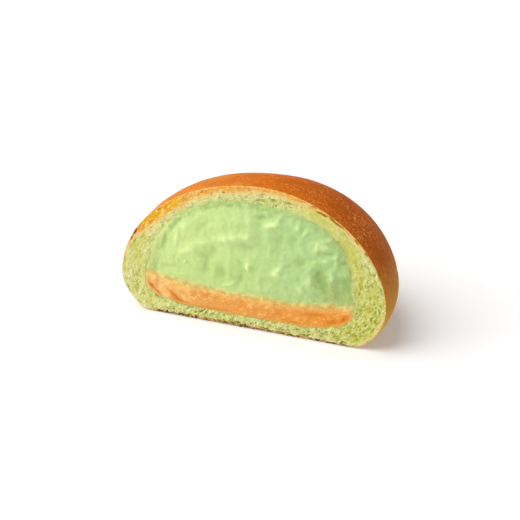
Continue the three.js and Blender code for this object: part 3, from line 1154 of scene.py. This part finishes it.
def at_seam(tree, body, other, side):
    """A filling's colour, turning into a pale mix and then the other filling's colour over a ragged seam.
    side is the side of the seam that the filling is on."""
    wavy = ragged(tree, mark(tree, "over_bed"), 3.6, 1.3)
    height = both(tree, ragged(tree, wavy, 1.2, 0.3), side)
    tone = blend(tree, band(tree, grain(tree, 2.2), 0.4, 0.6), SEAM_PALE, SEAM_TAN)
    colour = blend(tree, band(tree, height, 1.8, -0.2), body, tone)
    return blend(tree, band(tree, height, 0.6, -1.5), colour, other)


def green_material():
    material, tree = new_material("green_cream")
    standing = ragged(tree, mark(tree, "standing"), 4.0, 0.3)
    rightward = mark(tree, "rightward")
    low = mark(tree, "low")
    # Cooler and darker to the right and darker low down: partly a cooler green, partly painted shade, deepest
    # at the lower right.
    body = blend(tree, rightward, GREEN_BODY, GREEN_COOL_SHADED)
    body = blend(tree, both(tree, low, 0.15), body, GREEN_PAINTED_SHADE)
    body = blend(tree, both(tree, low, band(tree, rightward, 0.92, 1.0)), body, OLIVE_PAINTED_SHADE)
    # Raised marks get a painted highlight and sunken marks painted shade, over the real relief.
    body = blend(tree, band(tree, standing, 0.1, -1.1), body, GREEN_PAINTED_SHADE)
    body = blend(tree, band(tree, standing, 0.1, 1.0), body, GREEN_PAINTED_HIGHLIGHT)
    # A strip of painted shade just inside the wall, where the cream's edge curls back in a groove: weaker on
    # the right and broken up.
    strip = ragged(tree, mark(tree, "strip"), 1.8, 1.2)
    strength = math_of(tree, "MULTIPLY_ADD", rightward, -0.3, 0.9)
    broken = math_of(tree, "MULTIPLY_ADD", band(tree, grain(tree, 2.6), 0.4, 0.6), 0.7, 0.3)
    strength = both(tree, strength, broken)
    body = blend(tree, both(tree, band(tree, strip, 2.8, 1.0), strength), body, GREEN_PAINTED_SHADE)
    # At the wall itself the cream turns to the crumb's moist colour on the left and to painted olive shade on
    # the right.
    edge_tone = blend(tree, band(tree, rightward, 0.8, 0.96), CRUMB_MOIST, OLIVE_PAINTED_SHADE)
    body = blend(tree, band(tree, strip, 0.7, -1.2), body, edge_tone)
    finish_material(
        tree,
        Base_Color=at_seam(tree, body, APRICOT_BODY, OVER_SEAM),
        Roughness=0.45,
        Specular_IOR_Level=0.3,
        Normal=bump(tree, grain(tree, 0.9, detail=4.0), 0.08),
        Subsurface_Weight=0.2,
        Subsurface_Radius=(1.0, 1.1, 0.6),
        Subsurface_Scale=0.6 * MM,
    )
    return material


def apricot_material():
    material, tree = new_material("apricot_cream")
    rightward = mark(tree, "rightward")
    richness = ragged(tree, rightward, 2.4, 0.8)
    body = blend(tree, band(tree, richness, 0.0, 1.2), APRICOT_BODY, APRICOT_RICH)
    flecks = band(tree, grain(tree, (1.6, 0.9, 0.8), turn=20, swirl=1.0), 0.52, 0.7)
    flecks = both(tree, flecks, math_of(tree, "MULTIPLY_ADD", rightward, -0.4, 1.0))
    paler = band(tree, ragged(tree, rightward, 3.0, 0.2), 0.18, -0.06)
    body = blend(tree, math_of(tree, "MAXIMUM", flecks, paler), body, APRICOT_PALE)
    darker = band(tree, grain(tree, (1.6, 0.9, 0.9), turn=20, swirl=1.0), 0.45, 0.3)
    deep = math_of(tree, "MAXIMUM", mark(tree, "deep"), both(tree, darker, 0.5))
    body = blend(tree, deep, body, APRICOT_DEEP)
    upper = band(tree, ragged(tree, mark(tree, "over_bed"), 2.0, 0.8), -3.5, -0.5)
    body = blend(tree, both(tree, upper, 0.4), body, APRICOT_PALE)
    edge = band(tree, ragged(tree, mark(tree, "from_wall"), 1.2, 0.5), 1.2, 0.0)
    body = blend(tree, both(tree, edge, 0.6), body, SEAM_TAN)
    finish_material(
        tree,
        Base_Color=at_seam(tree, body, GREEN_BODY, UNDER_SEAM),
        Roughness=0.5,
        Specular_IOR_Level=0.15,
        Normal=bump(tree, grain(tree, 0.6, detail=3.0), 0.1),
        Subsurface_Weight=0.2,
        Subsurface_Radius=(1.0, 0.7, 0.35),
        Subsurface_Scale=0.6 * MM,
    )
    return material


def floor_material():
    material, tree = new_material("floor")
    finish_material(
        tree,
        Base_Color=blend(tree, grain(tree, 40.0), FLOOR_DULL, FLOOR_BRIGHT),
        Roughness=0.8,
        Specular_IOR_Level=0.2,
        Emission_Color=WHITE,
        Emission_Strength=0.2,
    )
    return material


# Camera, floor and light

IMAGE_SIDE = 520
PIXELS_PER_MM = 3.109
AZIMUTH = math.radians(23.73)
ELEVATION = math.radians(24.10)
DISTANCE = 1200.0
NEAREST_SEEN = 50.0
SEEN_POINT = np.array([0.0, 15.0, 22.0])
SEEN_PIXEL = (284.14, 251.79)

KEY = {"place": (0.0, 0.0, 1000.0), "way": (-0.5, -0.22, 0.84), "spread": 70.0, "power": 3.1}
FILL = {"place": (-260.0, -330.0, 190.0), "size": 240.0, "power": 0.25}
WORLD_STRENGTH = 0.25
FLOOR_SIZE = 4000.0


def view_axes():
    """The camera's right, its up and the way back to it."""
    right = np.array([math.cos(AZIMUTH), math.sin(AZIMUTH), 0])
    back = np.array([math.sin(AZIMUTH), -math.cos(AZIMUTH), 0]) * math.cos(ELEVATION)
    back[2] = math.sin(ELEVATION)
    return right, np.cross(back, right), back


def put(name, data, place, way):
    """An object for a camera or a light at a place, with its back to a way."""
    holder = bpy.data.objects.new(name, data)
    holder.location = to_frame(np.array(place))
    holder.rotation_euler = Vector(way).to_track_quat("Z", "Y").to_euler()
    bpy.context.scene.collection.objects.link(holder)
    return holder


def set_camera():
    right, up, back = view_axes()
    middle = IMAGE_SIDE / 2
    across = (SEEN_PIXEL[0] - middle) / PIXELS_PER_MM
    above = (middle - SEEN_PIXEL[1]) / PIXELS_PER_MM
    aim = SEEN_POINT - across * right - above * up
    camera = bpy.data.cameras.new("camera")
    camera.angle = 2 * math.atan(middle / PIXELS_PER_MM / DISTANCE)
    camera.clip_start = NEAREST_SEEN * MM
    bpy.context.scene.camera = put("camera", camera, aim + back * DISTANCE, back)


def set_lights():
    key = bpy.data.lights.new("key", "SUN")
    key.energy = KEY["power"]
    key.angle = math.radians(KEY["spread"])
    put("key", key, KEY["place"], KEY["way"])
    fill = bpy.data.lights.new("fill", "AREA")
    fill.energy = FILL["power"]
    fill.size = FILL["size"] * MM
    put("fill", fill, FILL["place"], np.array(FILL["place"]) - SEEN_POINT)
    world = bpy.data.worlds.new("studio")
    world.use_nodes = True
    background = world.node_tree.nodes["Background"]
    background.inputs["Color"].default_value = WHITE
    background.inputs["Strength"].default_value = WORLD_STRENGTH
    bpy.context.scene.world = world
    bpy.context.scene.view_settings.view_transform = "Standard"


def set_floor():
    mesh = bpy.data.meshes.new("floor")
    half = FLOOR_SIZE / 2 * MM
    corners = [(-half, -half, 0), (half, -half, 0), (half, half, 0), (-half, half, 0)]
    mesh.from_pydata(corners, [], [(0, 1, 2, 3)])
    mesh.materials.append(floor_material())
    floor = bpy.data.objects.new("floor", mesh)
    floor.location.z = bread_low.z
    bpy.context.scene.collection.objects.link(floor)


set_camera()
set_lights()
set_floor()
pieces = {
    "bread": bread_piece(),
    "green_cream": filling_piece(
        "green_filling", OVER_SEAM, GREEN_GRID, green_relief, green_material()
    ),
    "apricot_cream": filling_piece(
        "apricot_filling", UNDER_SEAM, APRICOT_GRID, apricot_relief, apricot_material()
    ),
}
for node, piece in pieces.items():
    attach(piece, "root")
    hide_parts(node)
